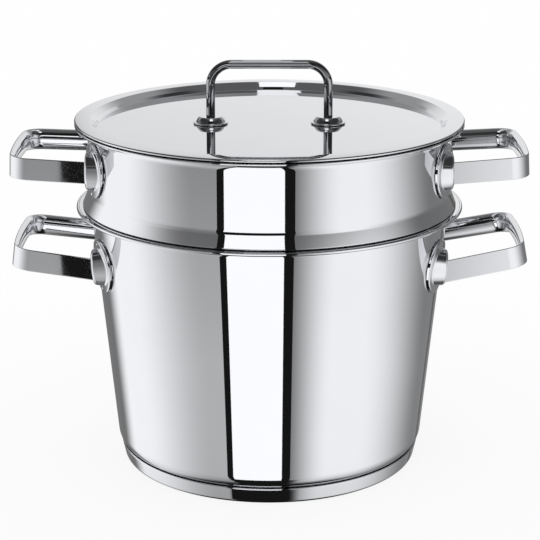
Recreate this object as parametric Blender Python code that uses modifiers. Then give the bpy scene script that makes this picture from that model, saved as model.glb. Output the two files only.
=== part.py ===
"""A 24 cm multi-pot in polished stainless steel: a tapered pot, a deep draining insert that
stands on the pot's rim, and a dished lid that rests on the insert.

Each of the three is modelled in its own frame and stands on an empty at its seat, so the insert
lifts out of the pot, and the lid off the insert, straight up along the common axis.
The pot's frame has its origin in the middle of its underside. The handles lie along X.
"""

from math import asin, cos, pi, radians, sin, sqrt, tan

import bmesh
import bpy
from mathutils import Matrix, Vector

MM = 0.001

# Sheet metal and fits
SHEET = 0.9 * MM
SEAT_GAP = 0.3 * MM
RIM_EDGE_ROUND = 0.7 * MM
FLARE_RADIUS = 5.5 * MM

# Pot, insert and lid share one rim radius, so that they stack
RIM_RADIUS = 131.0 * MM

# Pot
POT_HEIGHT = 180.0 * MM
POT_LIP_DROP = 2.4 * MM
POT_RIM_WIDTH = 9.5 * MM
POT_TAPER = 16.7 * MM
POT_FOOT_FILLET = 14.0 * MM
POT_WALL_TOP_RADIUS = RIM_RADIUS - POT_RIM_WIDTH
POT_WALL_FOOT_RADIUS = POT_WALL_TOP_RADIUS - POT_TAPER

# Capsule base: an aluminium heat plate under the pot's floor, closed by a pressed steel cap
CAP_SHEET = 0.8 * MM
CAP_LIP_HEIGHT = 10.8 * MM
CAP_LIP_INSET = 0.9 * MM
CAP_TAPER = 2.5 * MM
CAP_FOOT_FILLET = 3.0 * MM
CAP_LIP_RADIUS = POT_WALL_FOOT_RADIUS - CAP_LIP_INSET
CAP_FOOT_RADIUS = CAP_LIP_RADIUS - CAP_TAPER
HEAT_PLATE_THICKNESS = 5.6 * MM
HEAT_PLATE_INSET = 2.4 * MM
HEAT_PLATE_RADIUS = CAP_FOOT_RADIUS - HEAT_PLATE_INSET
POT_FLOOR_UNDERSIDE = CAP_SHEET + SEAT_GAP + HEAT_PLATE_THICKNESS + SEAT_GAP

# Insert: a collar that stands on the pot's rim, and the basket that hangs into the pot
INSERT_COLLAR_HEIGHT = 57.1 * MM
INSERT_RIM_WIDTH = 8.4 * MM
INSERT_LIP_DROP = 2.9 * MM
SHOULDER_STEP = 3.8 * MM
SHOULDER_HEIGHT = 9.6 * MM
SHOULDER_CREASE_RADIUS = 2.5 * MM
SHOULDER_EDGE_RADIUS = 0.9 * MM
INSERT_COLLAR_RADIUS = RIM_RADIUS - INSERT_RIM_WIDTH
SHOULDER_RADIUS = INSERT_COLLAR_RADIUS + SHOULDER_STEP
BASKET_FLOOR_CLEARANCE = 20.4 * MM
BASKET_TOP_CLEARANCE = 2.6 * MM
BASKET_FOOT_CLEARANCE = 6.5 * MM
BASKET_NECK_FILLET = 2.5 * MM
BASKET_FOOT_FILLET = 9.0 * MM
BASKET_DEPTH = POT_HEIGHT + SEAT_GAP - POT_FLOOR_UNDERSIDE - SHEET - BASKET_FLOOR_CLEARANCE

# Draining holes of the insert
HOLE_RADIUS = 3.2 * MM
HOLE_SIDES = 6
WALL_HOLE_HEIGHTS = (26.0 * MM, 42.0 * MM)
WALL_HOLES_PER_ROW = 16
FLOOR_HOLE_RINGS = 2
FLOOR_HOLE_MARGIN = 46.0 * MM

# Loop handles: a half-round strap bent to a loop, let into the bosses of two mounting plates
STRAP_HEIGHT = 14.8 * MM
STRAP_THICKNESS = 5.0 * MM
STRAP_OVERHANG = 41.8 * MM
STRAP_REACH = RIM_RADIUS + STRAP_OVERHANG
STRAP_ROOT_HALF_WIDTH = 48.8 * MM
STRAP_TIP_INSET = 2.4 * MM
STRAP_CORNER_RADIUS = 14.0 * MM
STRAP_END_BOW = 1.2 * MM
STRAP_POCKET_DEPTH = 4.0 * MM
POT_STRAP_SHIFT = {"left": -0.6 * MM, "right": -2.2 * MM}
POT_STRAP_RISE = {"left": radians(7.2), "right": radians(10.8)}
INSERT_STRAP_SHIFT = {"left": -0.3 * MM, "right": -0.6 * MM}
INSERT_STRAP_RISE = {"left": radians(2.7), "right": radians(3.6)}

# Mounting plates: a thin disc on the wall and a boss, hung at a set drop below their own rim
PLATE_RADIUS = 18.3 * MM
PLATE_THICKNESS = 2.0 * MM
PLATE_INSET = 1.5 * MM
BOSS_RADIUS = 12.5 * MM
BOSS_EDGE_RADIUS = 2.4 * MM
POT_PLATE_DROP = 34.8 * MM
POT_BOSS_INSET = 6.8 * MM
POT_BOSS_STAND = 7.3 * MM
INSERT_PLATE_DROP = 26.5 * MM
INSERT_BOSS_INSET = 4.2 * MM
INSERT_BOSS_STAND = 6.3 * MM

# Lid: one pressed sheet, a flat flange with a shallow dished middle that fits inside the collar
LID_RECESS_DEPTH = 5.2 * MM
LID_COLLAR_CLEARANCE = 1.5 * MM
LID_RECESS_TAPER = 5.2 * MM
LID_SHOULDER_FILLET = 1.8 * MM
LID_FLOOR_FILLET = 1.2 * MM
LID_RECESS_TOP_RADIUS = INSERT_COLLAR_RADIUS - SHEET - LID_COLLAR_CLEARANCE
LID_RECESS_FLOOR_RADIUS = LID_RECESS_TOP_RADIUS - LID_RECESS_TAPER

# Lid handle: a bent rod on two rosettes, screwed through the lid from below
ROD_RADIUS = 3.0 * MM
POST_SPACING = 79.0 * MM
BOW_HEIGHT = 43.3 * MM
BOW_CORNER_RADIUS = 14.0 * MM
ROSETTE_TOP_WIDTH = 4.3 * MM
ROSETTE_FLARE = 4.2 * MM
ROSETTE_HEIGHT = 4.6 * MM
ROSETTE_LIP = 0.9 * MM
SCREW_RADIUS = 1.7 * MM
SCREW_HEAD_OVERLAP = 1.9 * MM
SCREW_HEAD_HEIGHT = 2.2 * MM
SCREW_REACH = 8.0 * MM
SCREW_SLOT_WIDTH = 1.0 * MM
SCREW_SLOT_DEPTH = 0.9 * MM
WASHER_OVERLAP = 4.1 * MM
WASHER_THICKNESS = 1.0 * MM
SCREW_BORE = SCREW_RADIUS + SEAT_GAP
SCREW_HEAD_RADIUS = SCREW_RADIUS + SCREW_HEAD_OVERLAP
WASHER_RADIUS = SCREW_HEAD_RADIUS + WASHER_OVERLAP
ROSETTE_BORE = ROD_RADIUS + SEAT_GAP
ROSETTE_TOP_RADIUS = ROSETTE_BORE + ROSETTE_TOP_WIDTH
ROSETTE_RADIUS = ROSETTE_TOP_RADIUS + ROSETTE_FLARE

# Facets
TURN_STEPS = 48
SMALL_TURN_STEPS = 16
CYLINDER_STEPS = 20
SHARP_ANGLE = radians(32)
FACE_TOLERANCE = 0.01 * MM
WELD_DISTANCE = 0.01 * MM

SIDES = {"left": -1, "right": 1}
ENDS = {"front": -1, "back": 1}


def clear_scene():
    for obj in list(bpy.data.objects):
        bpy.data.objects.remove(obj, do_unlink=True)


def collection(name):
    made = bpy.data.collections.new(name)
    bpy.context.scene.collection.children.link(made)
    return made


def material(name, colour, roughness, metallic):
    made = bpy.data.materials.new(name)
    made.use_nodes = True
    shader = made.node_tree.nodes["Principled BSDF"]
    shader.inputs["Base Color"].default_value = (*colour, 1.0)
    shader.inputs["Roughness"].default_value = roughness
    shader.inputs["Metallic"].default_value = metallic
    made.diffuse_color = (*colour, 1.0)
    return made


def rounded_path(corners):
    """Points through (radius, height, fillet, steps) corners, each corner turned by an arc."""
    points = []
    last = len(corners) - 1
    for index, (r, z, fillet, steps) in enumerate(corners):
        here = Vector((r, z))
        if index in (0, last) or fillet == 0:
            points.append(here)
            continue
        before = (Vector(corners[index - 1][:2]) - here).normalized()
        after = (Vector(corners[index + 1][:2]) - here).normalized()
        half_angle = before.angle(after) / 2
        centre = here + (before + after).normalized() * fillet / sin(half_angle)
        start = here + before * fillet / tan(half_angle) - centre
        end = here + after * fillet / tan(half_angle) - centre
        turn = start.angle_signed(end)
        for step in range(steps + 1):
            spin = Matrix.Rotation(-turn * step / steps, 2)
            points.append(centre + spin @ start)
    return points


def finish_smooth(obj):
    """Smooth faces, with the edges between faces at a clear angle kept sharp."""
    obj.data.shade_smooth()
    obj.data.set_sharp_from_angle(angle=SHARP_ANGLE)


def place(obj, mat, group, parent):
    obj.data.materials.append(mat)
    group.objects.link(obj)
    obj.parent = parent
    return obj


def turned(name, points, mat, group, parent, closed=False, steps=TURN_STEPS, wall=0.0):
    """A profile in the XZ plane turned about Z. A wall makes it a sheet, thickened inwards."""
    mesh = bpy.data.meshes.new(name)
    count = len(points)
    edges = [(i, i + 1) for i in range(count - 1)]
    if closed:
        edges.append((count - 1, 0))
    mesh.from_pydata([(p[0], 0.0, p[1]) for p in points], edges, [])
    obj = place(bpy.data.objects.new(name, mesh), mat, group, parent)
    screw = obj.modifiers.new("turn", "SCREW")
    screw.steps = screw.render_steps = steps
    screw.use_smooth_shade = True
    screw.use_merge_vertices = True
    screw.merge_threshold = WELD_DISTANCE
    if wall:
        sheet = obj.modifiers.new("sheet", "SOLIDIFY")
        sheet.thickness = wall
        sheet.offset = -1
        sheet.use_even_offset = True
        sheet.use_rim = True
    return obj


def baked(obj):
    """The object's mesh with its modifiers applied, kept under the same name."""
    bpy.context.view_layer.update()
    graph = bpy.context.evaluated_depsgraph_get()
    mesh = bpy.data.meshes.new_from_object(obj.evaluated_get(graph))
    old = obj.data
    obj.modifiers.clear()
    obj.data = mesh
    bpy.data.meshes.remove(old)
    mesh.name = obj.name
    return obj


def tool(name, mesh, group, parent=None):
    """A cutter or guide, drawn as a wire and left out of the part."""
    obj = bpy.data.objects.new(name, mesh)
    group.objects.link(obj)
    obj.parent = parent
    obj.display_type = "WIRE"
    obj.hide_render = True
    return obj


def combine(obj, other, operation):
    modifier = obj.modifiers.new(operation.lower(), "BOOLEAN")
    modifier.operation = operation
    modifier.object = other
    modifier.solver = "EXACT"


def curve_mesh(name, points, section=None, round_radius=0.0):
    """A closed mesh of a section, or of a round rod, carried along a path of points."""
    curve = bpy.data.curves.new(name, "CURVE")
    curve.dimensions = "3D"
    curve.twist_mode = "Z_UP"
    curve.bevel_mode = "OBJECT" if section else "ROUND"
    curve.bevel_object = section
    curve.bevel_depth = round_radius
    curve.bevel_resolution = 2
    curve.use_fill_caps = True
    spline = curve.splines.new("POLY")
    spline.points.add(len(points) - 1)
    for point, at in zip(spline.points, points):
        point.co = (*at, 1.0)
    guide = bpy.data.objects.new(name + "_path", curve)
    bpy.context.scene.collection.objects.link(guide)
    bpy.context.view_layer.update()
    graph = bpy.context.evaluated_depsgraph_get()
    mesh = bpy.data.meshes.new_from_object(guide.evaluated_get(graph))
    bpy.data.objects.remove(guide, do_unlink=True)
    shape = bmesh.new()
    shape.from_mesh(mesh)
    bmesh.ops.remove_doubles(shape, verts=shape.verts, dist=WELD_DISTANCE)
    bmesh.ops.recalc_face_normals(shape, faces=shape.faces)
    shape.to_mesh(mesh)
    shape.free()
    mesh.name = name
    return mesh


def cone_mesh(name, foot, top, foot_radius, top_radius, steps):
    """A closed cone or cylinder between two points."""
    mesh = bpy.data.meshes.new(name)
    shape = bmesh.new()
    along = Vector(top) - Vector(foot)
    bmesh.ops.create_cone(
        shape,
        cap_ends=True,
        segments=steps,
        radius1=foot_radius,
        radius2=top_radius,
        depth=along.length,
        matrix=Matrix.Translation((Vector(foot) + Vector(top)) / 2)
        @ along.to_track_quat("Z", "X").to_matrix().to_4x4(),
    )
    shape.to_mesh(mesh)
    shape.free()
    return mesh


def pot_wall_radius(height):
    """The outer radius of the pot's tapered wall."""
    share = (height - POT_FLOOR_UNDERSIDE) / (POT_HEIGHT - SHEET - POT_FLOOR_UNDERSIDE)
    return POT_WALL_FOOT_RADIUS + POT_TAPER * share


def rim_corners(top, lip_drop, wall_radius):
    """The underside of a flat rim with its edge turned down, as far as the flare into the wall."""
    inside = RIM_RADIUS - SHEET
    under = top - SHEET
    return [
        (inside, top - lip_drop, 0, 0),
        (inside, under, RIM_EDGE_ROUND, 1),
        (wall_radius, under, FLARE_RADIUS, 3),
    ]


def pot_shell(mat, group, parent):
    corners = rim_corners(POT_HEIGHT, POT_LIP_DROP, POT_WALL_TOP_RADIUS)
    corners.append((POT_WALL_FOOT_RADIUS, POT_FLOOR_UNDERSIDE, POT_FOOT_FILLET, 3))
    corners.append((0.0, POT_FLOOR_UNDERSIDE, 0, 0))
    turned("pot_shell", rounded_path(corners), mat, group, parent, wall=SHEET)


def base_cap(mat, group, parent):
    corners = [
        (CAP_LIP_RADIUS, CAP_LIP_HEIGHT, 0, 0),
        (CAP_FOOT_RADIUS, 0.0, CAP_FOOT_FILLET, 2),
        (0.0, 0.0, 0, 0),
    ]
    turned("base_cap", rounded_path(corners), mat, group, parent, wall=CAP_SHEET)


def heat_plate(mat, group, parent):
    foot = CAP_SHEET + SEAT_GAP
    top = foot + HEAT_PLATE_THICKNESS
    bevel = CAP_FOOT_FILLET / 2
    points = [
        (0.0, top),
        (HEAT_PLATE_RADIUS, top),
        (HEAT_PLATE_RADIUS, foot + bevel),
        (HEAT_PLATE_RADIUS - bevel, foot),
        (0.0, foot),
    ]
    turned("heat_plate", points, mat, group, parent)


def basket_wall_radius(height):
    """The insert's outer radius at a height in the insert's own frame, inside the pot."""
    top = pot_wall_radius(POT_HEIGHT - SHEET) - SHEET - BASKET_TOP_CLEARANCE
    foot_height = POT_HEIGHT + SEAT_GAP - BASKET_DEPTH
    foot = pot_wall_radius(foot_height) - SHEET - BASKET_FOOT_CLEARANCE
    return top + (foot - top) * -height / BASKET_DEPTH


def insert_shell(mat, group, tools, parent):
    corners = rim_corners(INSERT_COLLAR_HEIGHT, INSERT_LIP_DROP, INSERT_COLLAR_RADIUS)
    corners += [
        (INSERT_COLLAR_RADIUS, SHOULDER_HEIGHT, SHOULDER_CREASE_RADIUS, 1),
        (SHOULDER_RADIUS, 0.0, SHOULDER_EDGE_RADIUS, 1),
        (basket_wall_radius(0.0), 0.0, BASKET_NECK_FILLET, 2),
        (basket_wall_radius(-BASKET_DEPTH), -BASKET_DEPTH, BASKET_FOOT_FILLET, 3),
        (0.0, -BASKET_DEPTH, 0, 0),
    ]
    shell = turned(
        "insert_shell", rounded_path(corners), mat, group, parent, wall=SHEET
    )
    combine(shell, tool("drain_cutter", drain_mesh(), tools, parent), "DIFFERENCE")


def drain_mesh():
    """Every draining hole as one mesh of short hexagonal pins through the wall and the floor."""
    pins = bmesh.new()
    reach = 6 * SHEET
    half_step = pi / TURN_STEPS
    for row, above_floor in enumerate(WALL_HOLE_HEIGHTS):
        height = above_floor - BASKET_DEPTH
        for index in range(WALL_HOLES_PER_ROW):
            angle = 2 * pi * index / WALL_HOLES_PER_ROW + half_step
            angle += row * 2 * half_step
            out = Vector((cos(angle), sin(angle), 0.0))
            middle = out * basket_wall_radius(height) + Vector((0.0, 0.0, height))
            add_pin(pins, middle, out, reach)
    ring_pitch = (basket_wall_radius(-BASKET_DEPTH) - FLOOR_HOLE_MARGIN) / FLOOR_HOLE_RINGS
    for ring in range(FLOOR_HOLE_RINGS + 1):
        for index in range(max(1, 6 * ring)):
            angle = 2 * pi * index / max(1, 6 * ring) + half_step
            radius = ring * ring_pitch
            middle = Vector((radius * cos(angle), radius * sin(angle), -BASKET_DEPTH))
            add_pin(pins, middle, Vector((0.0, 0.0, 1.0)), reach)
    mesh = bpy.data.meshes.new("drain_cutter")
    pins.to_mesh(mesh)
    pins.free()
    return mesh


def add_pin(pins, middle, along, length):
    bmesh.ops.create_cone(
        pins,
        cap_ends=True,
        segments=HOLE_SIDES,
        radius1=HOLE_RADIUS,
        radius2=HOLE_RADIUS,
        depth=length,
        matrix=Matrix.Translation(middle) @ along.to_track_quat("Z", "Y").to_matrix().to_4x4(),
    )


def strap_section(name, tools, clearance):
    """Half an ellipse, flat on its outer side: the section of the strap, as a closed 2D curve."""
    half = STRAP_HEIGHT / 2 + clearance
    depth = STRAP_THICKNESS + clearance
    arc_steps = 6
    points = [(-clearance, half), (-clearance, -half)]
    for step in range(1, arc_steps):
        angle = pi / 2 - pi * step / arc_steps
        points.append((depth * cos(angle), -half * sin(angle)))
    curve = bpy.data.curves.new(name, "CURVE")
    curve.dimensions = "2D"
    spline = curve.splines.new("POLY")
    spline.points.add(len(points) - 1)
    for point, (x, y) in zip(spline.points, points):
        point.co = (x, y, 0.0, 1.0)
    spline.use_cyclic_u = True
    return tool(name, curve, tools)


def strap_plan(root, tip, extra):
    """The strap's outer line in plan, as (outwards, across) points from root to root."""
    corner = STRAP_CORNER_RADIUS
    corner_steps = 5
    half_root = STRAP_ROOT_HALF_WIDTH
    half_tip = half_root - STRAP_TIP_INSET
    shoulder = tip - STRAP_END_BOW - corner
    lean = (half_root - half_tip) / (shoulder - root)
    side = [(root - extra, half_root + extra * lean)]
    for step in range(corner_steps + 1):
        angle = pi / 2 * (1 - step / corner_steps)
        side.append((shoulder + corner * cos(angle), half_tip - corner + corner * sin(angle)))
    return side + [(tip, 0.0)] + [(s, -y) for s, y in reversed(side)]


def strap_mesh(name, side, rise, root, height, section, extra=0.0):
    """The bent strap as a closed mesh: a path with the strap's section carried along it."""
    tip = root + (STRAP_REACH - root) / cos(rise)
    path = [(s - root, y, 0.0) for s, y in strap_plan(root, tip, extra)]
    mesh = curve_mesh(name, path, section)
    lift = Matrix.Translation((root, 0.0, height)) @ Matrix.Rotation(-rise, 4, "Y")
    turn = Matrix.Rotation(pi if side < 0 else 0.0, 4, "Z")
    mesh.transform(turn @ lift)
    return mesh


class Wall:
    """A straight length of a turned wall's outer face, from its foot to its top."""

    def __init__(self, foot_radius, foot_height, top_radius, top_height):
        self.foot_radius = foot_radius
        self.foot_height = foot_height
        self.top_radius = top_radius
        self.top_height = top_height
        self.slope = (top_radius - foot_radius) / (top_height - foot_height)

    def radius(self, height):
        return self.foot_radius + self.slope * (height - self.foot_height)


class Mount:
    """Where a mounting plate and its boss sit on a wall."""

    def __init__(self, wall, height, boss_inset, stand):
        self.wall = wall
        self.height = height
        self.across = STRAP_ROOT_HALF_WIDTH - boss_inset
        self.stand = stand
        self.radius = wall.radius(height)

    def plate_axis(self, side, end):
        """The plate's centre on the wall and the wall's outward normal there."""
        bearing = asin((self.across - PLATE_INSET) / self.radius)
        level = Vector((side * cos(bearing), end * sin(bearing), 0.0))
        centre = level * self.radius + Vector((0.0, 0.0, self.height))
        return centre, (level - Vector((0.0, 0.0, self.wall.slope))).normalized()

    def boss_axis(self, side, end):
        """The boss's centre on the wall and its axis, along X but square to the wall's slope."""
        level = side * self.radius * cos(asin(self.across / self.radius))
        centre = Vector((level, end * self.across, self.height))
        return centre, Vector((side, 0.0, -self.wall.slope)).normalized()

    def pocket_foot(self):
        """How far out from the pot's axis the strap's end reaches inside the boss."""
        centre, along = self.boss_axis(1, 1)
        return (centre + along * (self.stand - STRAP_POCKET_DEPTH)).x


def mounting_plate(name, mount, side, end, pocket, mat, group, tools, parent):
    """A round plate that hugs the wall, with a boss that the strap's end goes into."""
    centre, out = mount.plate_axis(side, end)
    back = 4 * PLATE_THICKNESS
    disc = cone_mesh(
        name, centre - out * back, centre + out * back, PLATE_RADIUS, PLATE_RADIUS, CYLINDER_STEPS
    )
    plate = place(bpy.data.objects.new(name, disc), mat, group, parent)
    outer = wall_mesh(name + "_outer", mount.wall, SEAT_GAP + PLATE_THICKNESS)
    combine(plate, tool(name + "_outer", outer, tools, parent), "INTERSECT")

    foot, along = mount.boss_axis(side, end)
    boss = cone_mesh(
        name + "_boss",
        foot - along * back,
        foot + along * mount.stand,
        BOSS_RADIUS,
        BOSS_RADIUS,
        CYLINDER_STEPS,
    )
    round_face_edge(boss, along)
    combine(plate, tool(name + "_boss", boss, tools, parent), "UNION")
    inner = wall_mesh(name + "_inner", mount.wall, SEAT_GAP)
    combine(plate, tool(name + "_inner", inner, tools, parent), "DIFFERENCE")
    combine(plate, pocket, "DIFFERENCE")
    baked(plate)
    finish_smooth(plate)


def round_face_edge(mesh, along):
    """Rounds the edge of the face that lies furthest along a direction."""
    shape = bmesh.new()
    shape.from_mesh(mesh)
    reach = max(v.co.dot(along) for v in shape.verts)
    rim = [
        e for e in shape.edges if all(reach - v.co.dot(along) < FACE_TOLERANCE for v in e.verts)
    ]
    bmesh.ops.bevel(
        shape,
        geom=rim,
        offset=BOSS_EDGE_RADIUS,
        segments=2,
        profile=0.5,
        affect="EDGES",
    )
    shape.to_mesh(mesh)
    shape.free()


def wall_mesh(name, wall, away):
    """A closed cone a set distance outside a wall, on the wall's own facets."""
    away_level = away * sqrt(1 + wall.slope * wall.slope)
    return cone_mesh(
        name,
        (0.0, 0.0, wall.foot_height),
        (0.0, 0.0, wall.top_height),
        wall.foot_radius + away_level,
        wall.top_radius + away_level,
        TURN_STEPS,
    )


def handles(owner, mount, shifts, rises, steel, group, tools, parent):
    """The two loop handles of a pot or an insert, each with its two mounting plates."""
    section = strap_section(owner + "_strap_section", tools, 0.0)
    loose_section = strap_section(owner + "_pocket_section", tools, SEAT_GAP)
    root = mount.pocket_foot()
    for side_name, side in SIDES.items():
        name = f"{owner}_handle_{side_name}"
        bend = (side, rises[side_name], root, mount.height + shifts[side_name])
        loop = strap_mesh(name, *bend, section)
        finish_smooth(place(bpy.data.objects.new(name, loop), steel, group, parent))
        room = strap_mesh(name + "_pocket", *bend, loose_section, extra=SEAT_GAP)
        pocket = tool(name + "_pocket", room, tools, parent)
        for end_name, end in ENDS.items():
            plate_name = f"{owner}_mount_{side_name}_{end_name}"
            mounting_plate(plate_name, mount, side, end, pocket, steel, group, tools, parent)


def lid_shell(mat, group, tools, parent):
    """The lid's sheet by its underside, which rests on the insert's rim, with the screw holes."""
    corners = [
        (RIM_RADIUS, 0.0, 0, 0),
        (LID_RECESS_TOP_RADIUS, 0.0, LID_SHOULDER_FILLET, 2),
        (LID_RECESS_FLOOR_RADIUS, -LID_RECESS_DEPTH, LID_FLOOR_FILLET + SHEET, 2),
        (0.0, -LID_RECESS_DEPTH, 0, 0),
    ]
    lid = turned("lid_shell", rounded_path(corners), mat, group, parent, wall=SHEET)
    for side_name, side in SIDES.items():
        x = side * POST_SPACING / 2
        hole = cone_mesh(
            "lid_hole",
            (x, 0.0, -LID_RECESS_DEPTH - SHEET),
            (x, 0.0, -LID_RECESS_DEPTH + 2 * SHEET),
            SCREW_BORE,
            SCREW_BORE,
            SMALL_TURN_STEPS,
        )
        combine(lid, tool(f"lid_hole_{side_name}", hole, tools, parent), "DIFFERENCE")


def lid_handle(steel, group, tools, parent):
    """The bow and, at each post, its rosette above the lid and a washer and screw below it."""
    recess_top = -LID_RECESS_DEPTH + SHEET
    post_foot = recess_top + SEAT_GAP
    bow(post_foot, recess_top, steel, group, tools, parent)

    washer_top = -LID_RECESS_DEPTH - SEAT_GAP
    washer_foot = washer_top - WASHER_THICKNESS
    head_top = washer_foot - SEAT_GAP
    washer = [
        (WASHER_RADIUS, washer_top),
        (WASHER_RADIUS, washer_foot),
        (SCREW_BORE, washer_foot),
        (SCREW_BORE, washer_top),
    ]
    pieces = {
        "lid_rosette": (rosette_points(post_foot), True),
        "lid_washer": (washer, True),
        "lid_screw": (screw_points(head_top, post_foot), False),
    }
    for side_name, side in SIDES.items():
        for name, (points, closed) in pieces.items():
            node = f"{name}_{side_name}"
            piece = turned(
                node, points, steel, group, parent, closed=closed, steps=SMALL_TURN_STEPS
            )
            piece.location.x = side * POST_SPACING / 2
            if name == "lid_screw":
                slot_screw(piece, side_name, head_top, tools, parent)


def rosette_points(foot):
    """A turned collar round the post: a thin lip on the lid, a cone and a flat top."""
    return [
        (ROSETTE_BORE, foot + ROSETTE_HEIGHT),
        (ROSETTE_TOP_RADIUS, foot + ROSETTE_HEIGHT),
        (ROSETTE_RADIUS - ROSETTE_LIP, foot + ROSETTE_LIP),
        (ROSETTE_RADIUS, foot + ROSETTE_LIP / 2),
        (ROSETTE_RADIUS, foot),
        (ROSETTE_BORE, foot),
    ]


def screw_points(head_top, post_foot):
    head_foot = head_top - SCREW_HEAD_HEIGHT
    tip = post_foot + SCREW_REACH
    dome = SCREW_HEAD_HEIGHT / 2
    return [
        (0.0, tip),
        (SCREW_RADIUS, tip),
        (SCREW_RADIUS, head_top),
        (SCREW_HEAD_RADIUS, head_top),
        (SCREW_HEAD_RADIUS, head_foot + dome),
        (SCREW_HEAD_RADIUS - dome, head_foot),
        (0.0, head_foot),
    ]


def slot_screw(screw, side_name, head_top, tools, parent):
    """A driver slot across the screw's head."""
    mesh = bpy.data.meshes.new("slot")
    shape = bmesh.new()
    bmesh.ops.create_cube(shape, size=1.0)
    deep = 2 * SCREW_SLOT_DEPTH
    bmesh.ops.scale(
        shape, vec=(SCREW_SLOT_WIDTH, 3 * SCREW_HEAD_RADIUS, deep), verts=shape.verts
    )
    shape.to_mesh(mesh)
    shape.free()
    slot = tool(f"screw_slot_{side_name}", mesh, tools, parent)
    slot.location = (screw.location.x, 0.0, head_top - SCREW_HEAD_HEIGHT)
    combine(screw, slot, "DIFFERENCE")


def bow(post_foot, recess_top, steel, group, tools, parent):
    """The bent rod, with a blind hole for a screw up each post."""
    half = POST_SPACING / 2
    top = recess_top + BOW_HEIGHT - ROD_RADIUS
    corner_steps = 6
    path = [(-half, 0.0, post_foot)]
    for step in range(corner_steps + 1):
        angle = pi - pi / 2 * step / corner_steps
        path.append(
            (
                -half + BOW_CORNER_RADIUS * (1 + cos(angle)),
                0.0,
                top - BOW_CORNER_RADIUS * (1 - sin(angle)),
            )
        )
    path += [(-x, y, z) for x, y, z in reversed(path)]
    mesh = curve_mesh("lid_handle", path, round_radius=ROD_RADIUS)
    rod = place(bpy.data.objects.new("lid_handle", mesh), steel, group, parent)
    for side_name, side in SIDES.items():
        drill = cone_mesh(
            "drill",
            (side * half, 0.0, post_foot - SCREW_REACH),
            (side * half, 0.0, post_foot + SCREW_REACH + SEAT_GAP),
            SCREW_BORE,
            SCREW_BORE,
            SMALL_TURN_STEPS,
        )
        combine(rod, tool(f"post_drill_{side_name}", drill, tools, parent), "DIFFERENCE")
    finish_smooth(rod)


def seat(name, group, parent, height):
    """An empty on the common axis that a sub-assembly stands on and slides along."""
    made = bpy.data.objects.new(name, None)
    group.objects.link(made)
    made.parent = parent
    made.location.z = height
    return made


def main():
    clear_scene()
    group = collection("multi_pot")
    tools = collection("cutters")
    steel = material("polished_steel", (0.78, 0.78, 0.79), 0.08, 1.0)
    aluminium = material("aluminium_plate", (0.82, 0.82, 0.82), 0.35, 1.0)

    pot = seat("pot_seat", group, None, 0.0)
    insert = seat("insert_seat", group, pot, POT_HEIGHT + SEAT_GAP)
    lid = seat("lid_seat", group, insert, INSERT_COLLAR_HEIGHT + SEAT_GAP)

    pot_shell(steel, group, pot)
    heat_plate(aluminium, group, pot)
    base_cap(steel, group, pot)
    wall = Wall(
        POT_WALL_FOOT_RADIUS, POT_FLOOR_UNDERSIDE, POT_WALL_TOP_RADIUS, POT_HEIGHT - SHEET
    )
    mount = Mount(wall, POT_HEIGHT - POT_PLATE_DROP, POT_BOSS_INSET, POT_BOSS_STAND)
    handles("pot", mount, POT_STRAP_SHIFT, POT_STRAP_RISE, steel, group, tools, pot)

    insert_shell(steel, group, tools, insert)
    collar = Wall(INSERT_COLLAR_RADIUS, 0.0, INSERT_COLLAR_RADIUS, INSERT_COLLAR_HEIGHT)
    height = INSERT_COLLAR_HEIGHT - INSERT_PLATE_DROP
    mount = Mount(collar, height, INSERT_BOSS_INSET, INSERT_BOSS_STAND)
    handles("insert", mount, INSERT_STRAP_SHIFT, INSERT_STRAP_RISE, steel, group, tools, insert)

    lid_shell(steel, group, tools, lid)
    lid_handle(steel, group, tools, lid)


main()
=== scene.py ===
import bmesh
import bpy
import math
import numpy as np
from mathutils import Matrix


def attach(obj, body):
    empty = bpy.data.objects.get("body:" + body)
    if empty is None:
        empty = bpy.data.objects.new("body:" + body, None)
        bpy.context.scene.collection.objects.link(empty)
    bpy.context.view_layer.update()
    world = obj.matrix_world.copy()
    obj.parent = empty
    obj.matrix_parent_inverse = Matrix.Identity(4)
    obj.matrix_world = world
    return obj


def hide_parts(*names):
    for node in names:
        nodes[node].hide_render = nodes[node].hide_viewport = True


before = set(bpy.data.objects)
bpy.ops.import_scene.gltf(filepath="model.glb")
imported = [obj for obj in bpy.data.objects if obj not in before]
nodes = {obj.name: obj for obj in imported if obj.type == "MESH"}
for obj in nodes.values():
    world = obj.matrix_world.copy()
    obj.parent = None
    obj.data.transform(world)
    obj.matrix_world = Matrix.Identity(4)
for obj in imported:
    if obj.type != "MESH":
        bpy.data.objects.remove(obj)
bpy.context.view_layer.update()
mm = 0.001
print("frame loaded")


# Small helpers

def toLinear(hexText):
    # sRGB hex to linear light, with the standard sRGB curve
    parts = [int(hexText[i : i + 2], 16) / 255 for i in (1, 3, 5)]
    return [p / 12.92 if p <= 0.04045 else ((p + 0.055) / 1.055) ** 2.4 for p in parts]


def addNode(tree, kind, settings=None, links=None):
    # settings: attribute or input name to value; links: input name to the output socket it takes
    node = tree.nodes.new(kind)
    for key, value in (settings or {}).items():
        if isinstance(key, str) and hasattr(node, key):
            setattr(node, key, value)
        else:
            node.inputs[key].default_value = value
    for key, socket in (links or {}).items():
        tree.links.new(socket, node.inputs[key])
    return node


def newTree(name):
    mat = bpy.data.materials.new(name)
    mat.use_nodes = True
    mat.node_tree.nodes.clear()
    return mat, mat.node_tree


def gridQuads(rows, columns, closeColumns=True):
    # quads of a grid of points stored row by row; the columns may close on themselves
    r = np.arange(rows - 1)[:, None]
    c = np.arange(columns if closeColumns else columns - 1)[None, :]
    d = (c + 1) % columns
    a = r * columns
    b = (r + 1) * columns
    return np.stack([a + c, b + c, b + d, a + d], axis=-1).reshape(-1, 4)


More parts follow.
